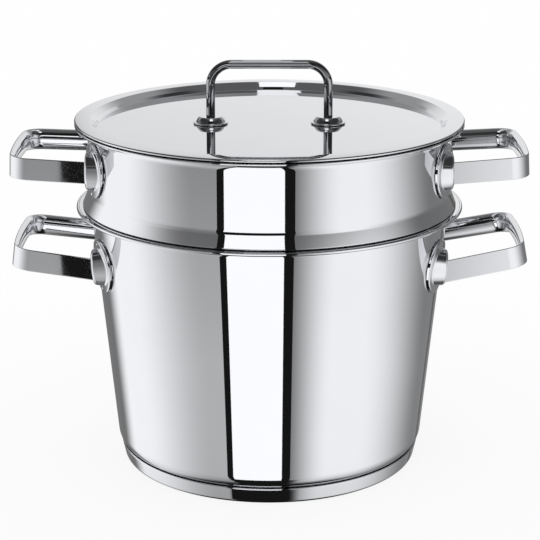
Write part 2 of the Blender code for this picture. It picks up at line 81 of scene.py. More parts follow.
def makePiece(name, parts, material, merge=0.004 * mm, sharp=38, turnOut=True):
    # parts: pairs of (n, 3) points in mm and (m, 4) quads; joined, welded and turned outwards
    points = np.concatenate([p.reshape(-1, 3) for p, q in parts]) * mm
    starts = np.cumsum([0] + [len(p.reshape(-1, 3)) for p, q in parts[:-1]])
    quads = np.concatenate([q + s for (p, q), s in zip(parts, starts)])
    mesh = bpy.data.meshes.new(name)
    mesh.vertices.add(len(points))
    mesh.vertices.foreach_set("co", points.astype(np.float32).ravel())
    mesh.loops.add(quads.size)
    mesh.loops.foreach_set("vertex_index", quads.astype(np.int32).ravel())
    mesh.polygons.add(len(quads))
    mesh.polygons.foreach_set("loop_start", np.arange(0, quads.size, 4, dtype=np.int32))
    mesh.update(calc_edges=True)
    work = bmesh.new()
    work.from_mesh(mesh)
    bmesh.ops.remove_doubles(work, verts=work.verts, dist=merge)
    bmesh.ops.dissolve_degenerate(work, edges=work.edges, dist=merge / 4)
    if turnOut:
        bmesh.ops.recalc_face_normals(work, faces=work.faces)
    work.to_mesh(mesh)
    work.free()
    mesh.shade_smooth()
    mesh.set_sharp_from_angle(angle=math.radians(sharp))
    piece = bpy.data.objects.new(name, mesh)
    bpy.context.scene.collection.objects.link(piece)
    mesh.materials.append(material)
    return piece


def settle(piece, body, slotName, *replaced):
    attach(piece, body)
    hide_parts(*replaced)


def unit(v):
    return v / np.linalg.norm(v, axis=-1, keepdims=True)


def roundedLine(corners, stepDegrees=5.0):
    # a line through (across, up, radius) corners; each corner with a radius becomes an arc that
    # touches both its sides, and the straight stretches get points near their ends
    pts = np.array([c[:2] for c in corners], float)
    out = [pts[0]]
    for i in range(1, len(pts) - 1):
        here, radius = pts[i], corners[i][2]
        if radius <= 0:
            out.append(here)
            continue
        a = unit(pts[i - 1] - here)
        b = unit(pts[i + 1] - here)
        half = math.acos(np.clip(a @ b, -1, 1)) / 2
        middle = here + unit(a + b) * radius / math.sin(half)
        start = here + a * radius / math.tan(half) - middle
        sweep = math.pi - 2 * half
        sign = np.sign(a[0] * b[1] - a[1] * b[0])
        steps = max(3, int(math.degrees(sweep) / stepDegrees))
        angles = -sign * np.linspace(0, sweep, steps + 1)
        c, s = np.cos(angles), np.sin(angles)
        arc = np.stack([c * start[0] - s * start[1], s * start[0] + c * start[1]], 1)
        out += list(middle + arc)
    out.append(pts[-1])
    return supportLine(np.array(out))


def supportLine(line, longest=7.0, near=0.25):
    # every long stretch gets a point close to each end, so that shading stays flat along it
    out = [line[0]]
    for a, b in zip(line[:-1], line[1:]):
        length = np.linalg.norm(b - a)
        if length < 1e-5:
            continue
        if length > 4 * near:
            inner = np.linspace(near, length - near, max(2, int(length / longest) + 2))
            out += [a + (b - a) * t / length for t in inner]
        out.append(b)
    return np.array(out)


def offsetLine(line, distance):
    # the line moved square to itself, to its right, by the same distance everywhere
    d = unit(np.diff(line, axis=0))
    before = np.vstack([d[:1], d])
    after = np.vstack([d, d[-1:]])
    middle = unit(before + after)
    stretch = 1 / np.maximum((middle * after).sum(1), 0.35)
    normal = np.stack([middle[:, 1], -middle[:, 0]], 1)
    return line + normal * (distance * stretch)[:, None]


def sheetLine(corners, sheet):
    # the sheet's outer face, stopped short by half a sheet so that its edge can be rounded
    first, second = np.array(corners[0][:2], float), np.array(corners[1][:2], float)
    start = first + unit(second - first) * sheet / 2
    return roundedLine([(*start, 0)] + corners[1:])


def plainEdge(outer, inner, sheet):
    # a half circle round the sheet's cut edge
    middle = (outer[0] + inner[0]) / 2
    across = (outer[0] - inner[0]) / 2
    back = unit(outer[0] - outer[1]) * sheet / 2
    a = np.linspace(0, np.pi, 11)[1:-1, None]
    return middle + np.cos(a) * across + np.sin(a) * back


def beadEdge(radius, top, bead, sheet):
    # a rolled edge: a circle that starts under the sheet, goes round outside and ends on its top
    start = 180 - math.degrees(math.asin((bead - sheet) / bead)) + 6
    a = np.radians(np.linspace(start, 450, 30))
    return np.array([radius - bead, top - bead]) + bead * np.stack([np.cos(a), np.sin(a)], 1)


def sheetOutline(outer, sheet, edge=None, toAxis=True):
    # from the axis out along a sheet's outer face, round its edge, and back along its inner face
    inner = offsetLine(outer, sheet)
    if toAxis:
        inner[-1, 0] = 0
    if edge is None:
        edge = plainEdge(outer, inner, sheet)
    return np.vstack([outer[::-1], edge, inner])


def turnedGrid(line, segments, centre=(0.0, 0.0)):
    # a (radius, height) line turned about Z: x = r cos a, y = r sin a, z = height
    a = np.linspace(0, 2 * np.pi, segments, endpoint=False)
    r = line[:, 0][:, None]
    z = np.repeat(line[:, 1][:, None], segments, 1)
    points = np.stack([centre[0] + r * np.cos(a), centre[1] + r * np.sin(a), z], -1)
    return points.reshape(-1, 3), gridQuads(len(line), segments)


def sweptGrid(path, side, up, section):
    # a closed (side, up) section carried along a path: point = path + side * s + up * u;
    # both ends close on the middle of the section
    ring = section[None, :, :]
    points = path[:, None] + side[:, None] * ring[..., :1] + up[:, None] * ring[..., 1:]
    ends = points[[0, -1]].mean(1, keepdims=True).repeat(len(section), 1)
    points = np.concatenate([ends[:1], points, ends[1:]])
    return points.reshape(-1, 3), gridQuads(len(points), len(section))


# Materials

def polishedSteel(name, hexText, roughness, streak):
    # 18/10 stainless steel, deep drawn and mirror polished: a near-perfect mirror with the
    # faintest haze from the polishing wheel. The real haze is finer than 0.1 mm; it is drawn 1 to
    # 3 mm fine, so that it shows, in clouds of about 45 mm.
    # streak: features per metre along X, Y, Z
    mat, tree = newTree(name)
    where = addNode(tree, "ShaderNodeTexCoord").outputs["Object"]
    stretched = addNode(tree, "ShaderNodeMapping", {"Scale": streak}, {"Vector": where})
    fine = addNode(
        tree,
        "ShaderNodeTexNoise",
        {"Scale": 1.0, "Detail": 4.0, "Roughness": 0.6},
        {"Vector": stretched.outputs["Vector"]},
    )
    cloud = addNode(
        tree,
        "ShaderNodeTexNoise",
        {"Scale": steelLook["cloud"], "Detail": 3.0},
        {"Vector": where},
    )
    haze = addNode(
        tree,
        "ShaderNodeMath",
        {"operation": "MULTIPLY"},
        {0: fine.outputs["Fac"], 1: cloud.outputs["Fac"]},
    )
    rough = addNode(
        tree,
        "ShaderNodeMapRange",
        {"From Min": 0.1, "From Max": 0.5, "To Min": roughness * 0.6, "To Max": roughness * 1.5},
        {"Value": haze.outputs["Value"]},
    )
    base = toLinear(hexText)
    tint = addNode(
        tree,
        "ShaderNodeMapRange",
        {
            "data_type": "FLOAT_VECTOR",
            "From Min": (0.3, 0.3, 0.3),
            "From Max": (0.7, 0.7, 0.7),
            "To Min": [c * steelLook["dull"] for c in base],
            "To Max": base,
        },
        {"Vector": cloud.outputs["Fac"]},
    )
    shader = addNode(
        tree,
        "ShaderNodeBsdfPrincipled",
        {"Metallic": 1.0},
        {"Base Color": tint.outputs["Vector"], "Roughness": rough.outputs["Result"]},
    )
    addNode(tree, "ShaderNodeOutputMaterial", {}, {"Surface": shader.outputs["BSDF"]})
    return mat


def rolledAluminium(name, hexText, roughness):
    # a plain rolled plate, hidden inside the base: grain 1 mm across, drawn out to 17 mm along X
    mat, tree = newTree(name)
    where = addNode(tree, "ShaderNodeTexCoord").outputs["Object"]
    stretched = addNode(tree, "ShaderNodeMapping", {"Scale": (60, 900, 900)}, {"Vector": where})
    grain = addNode(
        tree,
        "ShaderNodeTexNoise",
        {"Scale": 1.0, "Detail": 3.0},
        {"Vector": stretched.outputs["Vector"]},
    )
    rough = addNode(
        tree,
        "ShaderNodeMapRange",
        {"To Min": roughness * 0.7, "To Max": roughness * 1.4},
        {"Value": grain.outputs["Fac"]},
    )
    shader = addNode(
        tree,
        "ShaderNodeBsdfPrincipled",
        {"Metallic": 1.0, "Base Color": (*toLinear(hexText), 1.0)},
        {"Roughness": rough.outputs["Result"]},
    )
    addNode(tree, "ShaderNodeOutputMaterial", {}, {"Surface": shader.outputs["BSDF"]})
    return mat


# Colours, roughness of each surface, clouds per metre and how far a cloud dulls the colour.
# The bow is the same steel, its colour written darker as painted shade, because it shows nearly
# black in the photograph where it mirrors dark surroundings.
steelLook = {
    "colour": "#e2e3e6",
    "bow": "#a9aaad",
    "wall": 0.02,
    "lid": 0.03,
    "rod": 0.045,
    "cloud": 22.0,
    "dull": 0.985,
}

steel = steelLook["colour"]
wallSteel = polishedSteel("mirrorPolishedWall", steel, steelLook["wall"], (40, 40, 900))
lidSteel = polishedSteel("mirrorPolishedLid", steel, steelLook["lid"], (500, 500, 40))
rodSteel = polishedSteel("polishedRod", steel, steelLook["rod"], (300, 300, 300))
# the bow's colour is darker than the steel's: painted shade standing in for the dark reflections in
# its posts
bowPaintedShadeSteel = polishedSteel("polishedBowPaintedShade", steelLook["bow"], steelLook["rod"], (300, 300, 300))
plateAluminium = rolledAluminium("rolledAluminium", "#d9dadb", 0.35)
print("materials made")


# Pot, 24 cm: the sheet's outer line from its lip to the middle of its floor

rim = {"radius": 131.0, "sheet": 0.9, "flare": 5.5, "lipFoot": 0.25, "step": 0.05}

pot = {
    "height": 180.0,
    "lip": {"height": 2.5, "leanIn": 0.7, "leanHeight": 1.0, "round": 0.9},
    "wallTop": 121.5,
    "wallFoot": 104.8,
    "floor": 7.0,
    "footFillet": 14.0,
    "segments": 256,
}


def beadRoot(bead, sheet):
    # where a rolled edge meets the underside of its sheet
    return rim["radius"] - bead - math.sqrt(bead**2 - (bead - sheet) ** 2)


def rimLine(top, wallTop, lip):
    # the underside of a flat rim, from its lip as far as the flare into the wall
    under = top - rim["sheet"]
    start = rim["radius"] - lip["leanIn"] - rim["sheet"]
    return [(start, under, 0), (wallTop, under, rim["flare"])]


def rimEdge(top, lip):
    # the lip: a lower face that leans in, a short upright face and a rounded upper edge
    radius, low = rim["radius"], top - lip["height"]
    corners = [
        (radius - lip["leanIn"] - rim["sheet"], top - rim["sheet"] - rim["step"], 0),
        (radius - lip["leanIn"], low, rim["lipFoot"]),
        (radius, low + lip["leanHeight"], lip["round"] / 2),
        (radius, top, lip["round"]),
        (radius - 2 * lip["round"], top, 0),
    ]
    return roundedLine(corners, 9.0)


def makePot():
    corners = rimLine(pot["height"], pot["wallTop"], pot["lip"])
    corners += [(pot["wallFoot"], pot["floor"], pot["footFillet"]), (0, pot["floor"], 0)]
    outline = sheetOutline(roundedLine(corners), rim["sheet"], rimEdge(pot["height"], pot["lip"]))
    piece = makePiece("potShell", [turnedGrid(outline, pot["segments"])], wallSteel)
    settle(piece, "pot", "polished_steel", "pot_shell")


baseCap = {
    "lip": (102.8, 11.2),
    "side": (103.85, 10.9),
    "lipRound": 0.5,
    "foot": 101.4,
    "footFillet": 3.0,
    "sheet": 0.8,
    "segments": 256,
}


def makeBaseCap():
    # the cap's side with its upper edge turned in against the pot
    b = baseCap
    corners = [
        (*b["lip"], 0),
        (*b["side"], b["lipRound"]),
        (b["foot"], 0, b["footFillet"]),
        (0, 0, 0),
    ]
    outline = sheetOutline(sheetLine(corners, b["sheet"]), b["sheet"])
    piece = makePiece("baseCap", [turnedGrid(outline, b["segments"])], wallSteel)
    settle(piece, "pot", "polished_steel", "base_cap")


makePot()
makeBaseCap()
nodes["heat_plate"].material_slots[0].material = plateAluminium
print("pot made")


# Insert: collar, shoulder and basket in one sheet, the basket punched with round holes

insert = {
    "seat": 180.3,
    "collar": 122.6,
    "collarHeight": 55.9,
    "lip": {"height": 2.0, "leanIn": 0.65, "leanHeight": 1.1, "round": 0.45},
    "shoulder": (127.0, 9.9),
    "crease": 7.0,
    "shoulderEdge": 0.7,
    "neck": 118.0,
    "neckFillet": 2.5,
    "foot": 99.47,
    "depth": 152.0,
    "footFillet": 9.0,
    "hole": 2.5,
    "cellsRound": 48,
    "bandFoot": 17.0,
    "bandRows": 6,
    "rowPitch": 13.5,
    "floorCells": 12,
}


def holedCells(pointAt, cells, hole, inwards, outwards):
    # square cells of a sheet, each with a round hole: from the cell's outline on the outer face
    # to the hole, through the sheet and back out on the inner face, in rings of 16 points;
    # pointAt(u, v) gives the outer face, with u and v counted in cells
    ringCount, ringPoints, supportRing = 6, 16, 1.2
    side = np.linspace(-0.5, 0.5, 5)[:-1]
    half = np.full(4, 0.5)
    edge = np.concatenate(
        [
            np.stack([side, -half], 1),
            np.stack([half, side], 1),
            np.stack([-side, half], 1),
            np.stack([-half, -side], 1),
        ]
    )
    middle = cells + 0.5
    outline = pointAt(middle[:, :1] + edge[:, 0], middle[:, 1:] + edge[:, 1])
    centre = pointAt(middle[:, :1], middle[:, 1:])
    out = unit(outline - centre)
    outer = np.stack([outline, centre + out * hole * supportRing, centre + out * hole], 1)
    rings = np.concatenate([outer, (outer + inwards(outer))[:, ::-1]], 1)
    quads = gridQuads(ringCount, ringPoints)
    if outwards:
        quads = quads[:, ::-1]
    starts = np.arange(len(cells))[:, None, None] * ringCount * ringPoints
    return rings.reshape(-1, 3), (quads[None] + starts).reshape(-1, 4)


def discPoint(u, v, cells, radius, z):
    # a square laid on a disc: the larger coordinate gives the distance from the middle, and the
    # ratio of the two gives the angle within its quarter
    a = 2 * u / cells - 1 + 1e-9
    b = 2 * v / cells - 1 + 2e-9
    wide = np.abs(a) >= np.abs(b)
    reach = radius * np.where(wide, a, b)
    angle = np.where(wide, np.pi / 4 * b / a, np.pi / 2 - np.pi / 4 * a / b)
    return np.stack([reach * np.cos(angle), reach * np.sin(angle), np.full_like(a, z)], -1)


def makeInsert():
    i = insert
    corners = rimLine(i["collarHeight"], i["collar"], i["lip"])
    corners += [
        (i["collar"], i["shoulder"][1], i["crease"]),
        (i["shoulder"][0], 0, i["shoulderEdge"]),
        (i["neck"], 0, i["neckFillet"]),
        (i["foot"], -i["depth"], i["footFillet"]),
        (0, -i["depth"], 0),
    ]
    line = roundedLine(corners)
    low = -i["depth"] + i["bandFoot"]
    high = low + i["bandRows"] * i["rowPitch"]
    floorRadius = line[line[:, 1] < -i["depth"] + 1e-6][0, 0]

    def wallAt(z):
        return i["neck"] + (i["neck"] - i["foot"]) / i["depth"] * z

    def bandPoint(u, v):
        a = 2 * np.pi * u / i["cellsRound"]
        z = low + v * i["rowPitch"] + 0 * u
        r = wallAt(z)
        return np.stack([r * np.cos(a), r * np.sin(a), z], -1)

    def floorPoint(u, v):
        return discPoint(u, v, i["floorCells"], floorRadius, -i["depth"])

    def inwardsFromWall(points):
        # square to the sloping wall, by the sheet's thickness
        slope = (i["neck"] - i["foot"]) / i["depth"]
        flat = unit(points[..., :2])
        normal = np.concatenate([flat, np.full_like(flat[..., :1], -slope)], -1)
        return unit(normal) * -rim["sheet"]

    upper = np.vstack([line[line[:, 1] > high + 0.5], [[wallAt(high), high]]])
    lower = line[(line[:, 1] < low - 0.5) & (line[:, 0] > floorRadius - 1e-6)]
    lower = np.vstack([[[wallAt(low), low]], lower])
    lowerInner = offsetLine(np.vstack([lower, [[0, -i["depth"]]]]), rim["sheet"])[:-1]
    lowerInner[-1] = (floorRadius, -i["depth"] + rim["sheet"])
    upperOutline = sheetOutline(upper, rim["sheet"], rimEdge(i["collarHeight"], i["lip"]), False)
    band = np.stack(np.meshgrid(np.arange(i["cellsRound"]), np.arange(i["bandRows"])), -1)
    floor = np.stack(np.meshgrid(*[np.arange(i["floorCells"])] * 2), -1)
    parts = [
        turnedGrid(upperOutline[::-1], i["cellsRound"] * 4),
        turnedGrid(lower, i["cellsRound"] * 4),
        turnedGrid(lowerInner[::-1], i["cellsRound"] * 4),
        holedCells(bandPoint, band.reshape(-1, 2), i["hole"], inwardsFromWall, True),
        holedCells(
            floorPoint, floor.reshape(-1, 2), i["hole"], lambda p: (0, 0, rim["sheet"]), False
        ),
    ]
    parts = [(points + (0, 0, i["seat"]), quads) for points, quads in parts]
    piece = makePiece("insertShell", parts, wallSteel, merge=0.02 * mm, turnOut=False)
    settle(piece, "insert", "polished_steel", "insert_shell")


makeInsert()
print("insert made")


# Loop handles: a half-round strap bent to a loop

strap = {
    "height": 14.8,
    "thick": 5.0,
    "edge": 0.5,
    "reach": 172.8,
    "rootHalf": 48.8,
    "tipHalf": 45.95,
    "corner": 14.0,
    "endArc": 438.0,
    "pocket": 4.0,
}

# where the handles sit: wall radius and slope at the plates, their height, how far across the
# bosses stand and how far out, and for each side the strap's height and its rise in degrees
handleSets = {
    "pot": {
        "wall": 118.21,
        "slope": 0.09704,
        "z": 145.2,
        "across": 42.0,
        "plateAcross": 40.5,
        "stand": 7.3,
        "left": (144.6, 7.2),
        "right": (143.0, 10.8),
    },
    "insert": {
        "wall": 122.6,
        "slope": 0.0,
        "z": 210.9,
        "across": 44.6,
        "plateAcross": 43.1,
        "stand": 6.3,
        "left": (210.6, 2.7),
        "right": (210.3, 3.6),
    },
}


def strapSection():
    # a flat outer side with softened edges, and half an ellipse on the inside
    half, thick, edge = strap["height"] / 2, strap["thick"], strap["edge"]
    start = math.asin(edge / thick)
    t = np.linspace(start, np.pi - start, 30)
    bow = np.stack([thick * np.sin(t), half * np.cos(t)], 1)
    level = bow[0, 1] - edge
    a = np.linspace(0, np.pi / 2, 6)[:-1]
    lower = np.stack([edge - edge * np.sin(a), -level - edge * np.cos(a)], 1)
    upper = (lower * (1, -1))[::-1]
    flat = np.linspace(-level, level, 7)[:, None] * (0, 1)
    flat[1, 1], flat[-2, 1] = -level + 0.2, level - 0.2
    return np.vstack([bow, lower, flat, upper])


def strapPlan(root, tip):
    # the outer line in plan as (out, across): a leaning arm, a corner arc that touches both the
    # arm and the slightly bowed end, the end, and the same mirrored
    s = strap
    lean = math.atan2(s["rootHalf"] - s["tipHalf"], tip - root - s["corner"])
    along = np.array([math.cos(lean), -math.sin(lean)])
    inward = np.array([-math.sin(lean), -math.cos(lean)])
    begin = np.array([root, s["rootHalf"]])
    endCentre = np.array([tip - s["endArc"], 0.0])
    # the corner's centre is one corner radius inside the arm and the end arc
    q = begin + inward * s["corner"] - endCentre
    reach = s["endArc"] - s["corner"]
    t = -(q @ along) + math.sqrt((q @ along) ** 2 - q @ q + reach**2)
    centre = begin + inward * s["corner"] + along * t
    toEnd = math.atan2(*(centre - endCentre)[::-1])
    toArm = math.atan2(*(-inward)[::-1])
    a = np.linspace(toArm, toEnd, 28)
    corner = centre + s["corner"] * np.stack([np.cos(a), np.sin(a)], 1)
    b = np.linspace(toEnd, 0, 9)[1:]
    end = endCentre + s["endArc"] * np.stack([np.cos(b), np.sin(b)], 1)
    arm = begin + (corner[0] - begin) * np.linspace(0, 1, 9)[:-1, None]
    half = np.vstack([arm, corner[0] - along * 0.3, corner, end])
    return np.vstack([half, half[-2::-1] * (1, -1)])


def makeStrap(owner, sideName):
    h = handleSets[owner]
    side = -1 if sideName == "left" else 1
    z, rise = h[sideName][0], math.radians(h[sideName][1])
    lean = math.hypot(1, h["slope"])
    root = math.sqrt(h["wall"] ** 2 - h["across"] ** 2) + (h["stand"] - strap["pocket"]) / lean
    tip = root + (strap["reach"] - root) / math.cos(rise)
    plan = strapPlan(root, tip)
    forward = np.vstack([plan[1] - plan[0], plan[2:] - plan[:-2], plan[-1] - plan[-2]])
    forward = unit(forward)
    inward = np.stack([forward[:, 1], -forward[:, 0]], 1)

    def tilted(flat, level):
        # tips the plan up about the root by the rise and turns it to its side of the pot
        out, across = flat[:, 0], flat[:, 1]
        x = out * math.cos(rise) - level * math.sin(rise)
        up = out * math.sin(rise) + level * math.cos(rise)
        return np.stack([x * side, across * side, up + 0 * x], 1)

    path = tilted(plan - (root, 0), 0.0) + (root * side, 0, z)
    up = tilted(np.zeros_like(plan), 1.0)
    grid = sweptGrid(path, tilted(inward, 0.0), up, strapSection())
    name = f"{owner}Strap{sideName.capitalize()}"
    piece = makePiece(name, [grid], rodSteel)
    settle(piece, owner, "polished_steel", f"{owner}_handle_{sideName}")


# Mounting plates: a thin round disc that hugs the wall and a boss for the strap's end

plate = {
    "radius": 18.3,
    "near": 0.3,
    "far": 2.3,
    "edge": 0.9,
    "boss": 12.5,
    "draft": 0.2,
    "bossEdge": 2.4,
    "fillet": 1.2,
    "weldAt": 15.4,
    "weldRadius": 0.8,
    "weldDepth": 0.4,
}


def hugWall(start, along, distance, h):
    # moves each start along one direction to the wanted distance from the turned wall, in twelve
    # steps, each by the distance that is still missing
    moved = np.zeros(start.shape[:-1])
    square = math.hypot(1, h["slope"])
    for _ in range(12):
        at = start + moved[..., None] * along
        radius = h["wall"] + h["slope"] * (at[..., 2] - h["z"])
        off = (np.hypot(at[..., 0], at[..., 1]) - radius) / square
        moved = moved + (distance - off)
    return moved


def axesSquareTo(along):
    across = unit(np.cross([0, 0, 1], along))
    return across, np.cross(along, across)


def ringOn(foot, along, radius, columns):
    # points of a circle of each radius round an axis; the angle starts across and turns upwards
    across, up = axesSquareTo(along)
    a = np.linspace(0, 2 * np.pi, columns, endpoint=False)
    r = np.asarray(radius)[..., None, None]
    return foot + r * (np.cos(a)[:, None] * across + np.sin(a)[:, None] * up)


def flangeGrid(h, side, end):
    p = plate
    bearing = math.asin(h["plateAcross"] / h["wall"])
    level = np.array([side * math.cos(bearing), end * math.sin(bearing), 0.0])
    centre = level * h["wall"] + (0, 0, h["z"])
    out = unit(level - (0, 0, h["slope"]))
    a = np.linspace(0, np.pi / 2, 8)
    top = np.concatenate([[0, 4, 8, 12, 13.2], np.arange(13.8, p["radius"] - p["edge"], 0.3)])
    rounded = p["radius"] - p["edge"] + p["edge"] * np.sin(a)
    radius = np.concatenate([top, rounded, [p["radius"]], np.linspace(p["radius"], 0, 8)])
    drop = np.concatenate([0 * top, p["edge"] * (1 - np.cos(a)), [p["far"] - p["near"] - 0.2]])
    away = np.concatenate([p["far"] - drop, np.full(8, p["near"])])
    columns = 192
    ring = ringOn(centre, out, radius, columns)
    angle = np.linspace(0, 2 * np.pi, columns, endpoint=False)
    x, y = radius[:, None] * np.cos(angle), radius[:, None] * np.sin(angle)
    # two spot welds pressed in, one above and one below the boss
    weld = sum(
        np.exp(-((x**2 + (y - s * p["weldAt"]) ** 2) / p["weldRadius"] ** 2)) for s in (-1, 1)
    )
    onTop = (away > p["far"] - 0.5)[:, None]
    distance = away[:, None] - p["weldDepth"] * weld * onTop
    moved = hugWall(ring, out, distance, h)
    points = ring + moved[..., None] * out
    return points.reshape(-1, 3), gridQuads(len(radius), columns)


def bossGrid(h, side, end):
    p = plate
    reach = math.sqrt(h["wall"] ** 2 - h["across"] ** 2)
    foot = np.array([side * reach, end * h["across"], h["z"]])
    along = unit(np.array([side, 0.0, -h["slope"]]))
    columns = 96
    face = hugWall(ringOn(foot, along, np.array([p["boss"]]), columns), along, p["far"], h)[0]
    length = h["stand"] - face
    fillet = np.minimum(p["fillet"], 0.45 * length)
    edge = np.minimum(p["bossEdge"], length - fillet)
    a = np.linspace(0, np.pi / 2, 9)[:, None]
    across, up = axesSquareTo(along)
    turn = np.linspace(0, 2 * np.pi, columns, endpoint=False)
    spoke = np.cos(turn)[:, None] * across + np.sin(turn)[:, None] * up
    filletRadius = p["boss"] + fillet * (1 - np.sin(a))
    start = foot + filletRadius[..., None] * spoke
    filletHeight = hugWall(start, along, p["far"], h) + fillet * (1 - np.cos(a))
    sideShare = np.array([0.04, 0.35, 0.65, 0.96])[:, None]
    sideHeight = face + fillet + (length - fillet - edge) * sideShare
    sideRadius = p["boss"] - p["draft"] * (sideHeight - face - fillet)
    endRadius = p["boss"] - p["draft"] * (length - fillet - edge)
    edgeRadius = endRadius - edge * (1 - np.cos(a))
    edgeHeight = h["stand"] - edge * (1 - np.sin(a))
    share = np.array([0.97, 0.7, 0.35, 0.0])[:, None]
    radius = np.concatenate(
        [
            np.zeros((1, columns)),
            filletRadius[:1],
            filletRadius,
            sideRadius,
            edgeRadius,
            edgeRadius[-1:] * share,
        ]
    )
    height = np.concatenate(
        [
            np.full((1, columns), face.mean() - 1.0),
            filletHeight[:1] - 0.5,
            filletHeight,
            sideHeight,
            edgeHeight,
            np.full((4, columns), h["stand"]),
        ]
    )
    points = foot + radius[..., None] * spoke + height[..., None] * along
    return points.reshape(-1, 3), gridQuads(len(radius), columns)


def makeMount(owner, sideName, endName):
    side = -1 if sideName == "left" else 1
    end = -1 if endName == "front" else 1
    h = handleSets[owner]
    parts = [flangeGrid(h, side, end), bossGrid(h, side, end)]
    name = f"{owner}Mount{sideName.capitalize()}{endName.capitalize()}"
    piece = makePiece(name, parts, rodSteel)
    settle(piece, owner, "polished_steel", f"{owner}_mount_{sideName}_{endName}")


for owner in handleSets:
    for sideName in ("left", "right"):
        makeStrap(owner, sideName)
        for endName in ("front", "back"):
            makeMount(owner, sideName, endName)
print("handles made")


# Lid: a flat flange on the insert's rim, and a shallow dished middle

lid = {
    "top": 238.7,
    "sheet": 0.7,
    "bead": 0.88,
    "crown": 0.2,
    "dish": 119.9,
    "dishEdge": 0.8,
    "drop": (116.7, 3.2),
    "bend": 0.3,
    "floor": 115.1,
    "depth": 5.3,
    "corner": 0.3,
    "segments": 256,
}

bow = {"radius": 3.0, "spacing": 79.0, "height": 43.1, "corner": 14.0, "lift": 0.3}

# lip: height of the flat foot; ledge: how far the cone stands in from its edge
rosette = {
    "foot": 11.8,
    "lip": 0.9,
    "ledge": 1.6,
    "ledgeRound": 0.5,
    "bulge": (9.1, 3.0, 8.0),
    "top": 7.6,
    "height": 4.6,
    "soft": 0.35,
    "footRound": 0.2,
    "play": 0.1,
}


def makeLid():
    # the upper face: a crowned flange, a wall that leans in two slopes, and the flat floor
    start = rim["radius"] - lid["bead"]
    corners = [
        (start, 0, 0),
        (lid["dish"], 0, lid["dishEdge"]),
        (lid["drop"][0], -lid["drop"][1], lid["bend"]),
        (lid["floor"], -lid["depth"], lid["corner"]),
        (0, -lid["depth"], 0),
    ]
    face = roundedLine(corners)
    # crown: highest at the dish, falling as the square of the way out to the bead
    way = np.clip((face[:, 0] - lid["dish"]) / (rim["radius"] - lid["dish"]), 0, 1)
    face[:, 1] += lid["crown"] * (1 - way**2)
    face += (0, lid["top"])
    under = offsetLine(face, -lid["sheet"])
    under[-1, 0] = 0
    under = under[under[:, 0] < beadRoot(lid["bead"], lid["sheet"])]
    edge = beadEdge(rim["radius"], face[0, 1], lid["bead"], lid["sheet"])
    outline = np.vstack([under[::-1], edge, face[1:]])
    piece = makePiece("lidShell", [turnedGrid(outline, lid["segments"])], lidSteel)
    settle(piece, "lid", "polished_steel", "lid_shell")


def lidTop():
    return lid["top"] - lid["depth"] + lid["crown"]


def makeBow():
    # a round rod carried along two posts, two corner arcs and the bar between them
    half = bow["spacing"] / 2
    foot = lidTop() + bow["lift"]
    top = lidTop() + bow["height"] - bow["radius"]
    corners = [
        (-half, foot, 0),
        (-half, top, bow["corner"]),
        (half, top, bow["corner"]),
        (half, foot, 0),
    ]
    line = roundedLine(corners, 4.0)
    path = np.stack([line[:, 0], 0 * line[:, 0], line[:, 1]], 1)
    along = unit(np.vstack([path[1] - path[0], path[2:] - path[:-2], path[-1] - path[-2]]))
    level = np.tile([0.0, 1.0, 0.0], (len(path), 1))
    a = np.linspace(0, 2 * np.pi, 48, endpoint=False)
    section = bow["radius"] * np.stack([np.cos(a), np.sin(a)], 1)
    grid = sweptGrid(path, level, np.cross(along, level), section)
    piece = makePiece("lidBow", [grid], bowPaintedShadeSteel)
    settle(piece, "lid", "polished_steel", "lid_handle")


def makeRosette(sideName):
    side = -1 if sideName == "left" else 1
    r = rosette
    hole = bow["radius"] + r["play"]
    corners = [
        (hole, 0, 0),
        (r["foot"], 0, r["footRound"]),
        (r["foot"], r["lip"], r["soft"]),
        (r["foot"] - r["ledge"], r["lip"], r["ledgeRound"]),
        r["bulge"],
        (r["top"], r["height"], r["soft"] * 2),
        (hole, r["height"], 0),
        (hole, 0, 0),
    ]
    line = roundedLine(corners, 10.0) + (0, lidTop() + bow["lift"])
    grid = turnedGrid(line, 96, (side * bow["spacing"] / 2, 0.0))
    piece = makePiece(f"rosette{sideName.capitalize()}", [grid], rodSteel)
    settle(piece, "lid", "polished_steel", f"lid_rosette_{sideName}")


makeLid()
makeBow()
makeRosette("left")
makeRosette("right")
for name in ("lid_washer_left", "lid_washer_right", "lid_screw_left", "lid_screw_right"):
    nodes[name].material_slots[0].material = rodSteel
print("lid made")


# Studio: a white floor, a white room, and a tent of cards that only the polished steel mirrors

# plain: share of plain white that the camera sees; the rest keeps the shadow. half: metres
floorLook = {"plain": 0.82, "colour": "#fbfbfb", "half": 15}


def makeFloor():
    h = floorLook["half"]
    mesh = bpy.data.meshes.new("floor")
    mesh.from_pydata([(-h, -h, 0), (h, -h, 0), (h, h, 0), (-h, h, 0)], [], [(0, 1, 2, 3)])
    floor = bpy.data.objects.new("floor", mesh)
    bpy.context.scene.collection.objects.link(floor)
    mat, tree = newTree("whiteFloor")
    colour = (*toLinear(floorLook["colour"]), 1.0)
    shaded = addNode(tree, "ShaderNodeBsdfDiffuse", {"Color": colour})
    plain = addNode(tree, "ShaderNodeEmission", {"Strength": 1.0})
    seen = addNode(tree, "ShaderNodeLightPath").outputs["Is Camera Ray"]
    share = addNode(
        tree, "ShaderNodeMath", {"operation": "MULTIPLY", 1: floorLook["plain"]}, {0: seen}
    )
    mixed = addNode(
        tree,
        "ShaderNodeMixShader",
        {},
        {0: share.outputs["Value"], 1: shaded.outputs["BSDF"], 2: plain.outputs["Emission"]},
    )
    addNode(tree, "ShaderNodeOutputMaterial", {}, {"Surface": mixed.outputs["Shader"]})
    mesh.materials.append(mat)
    floor.visible_glossy = False


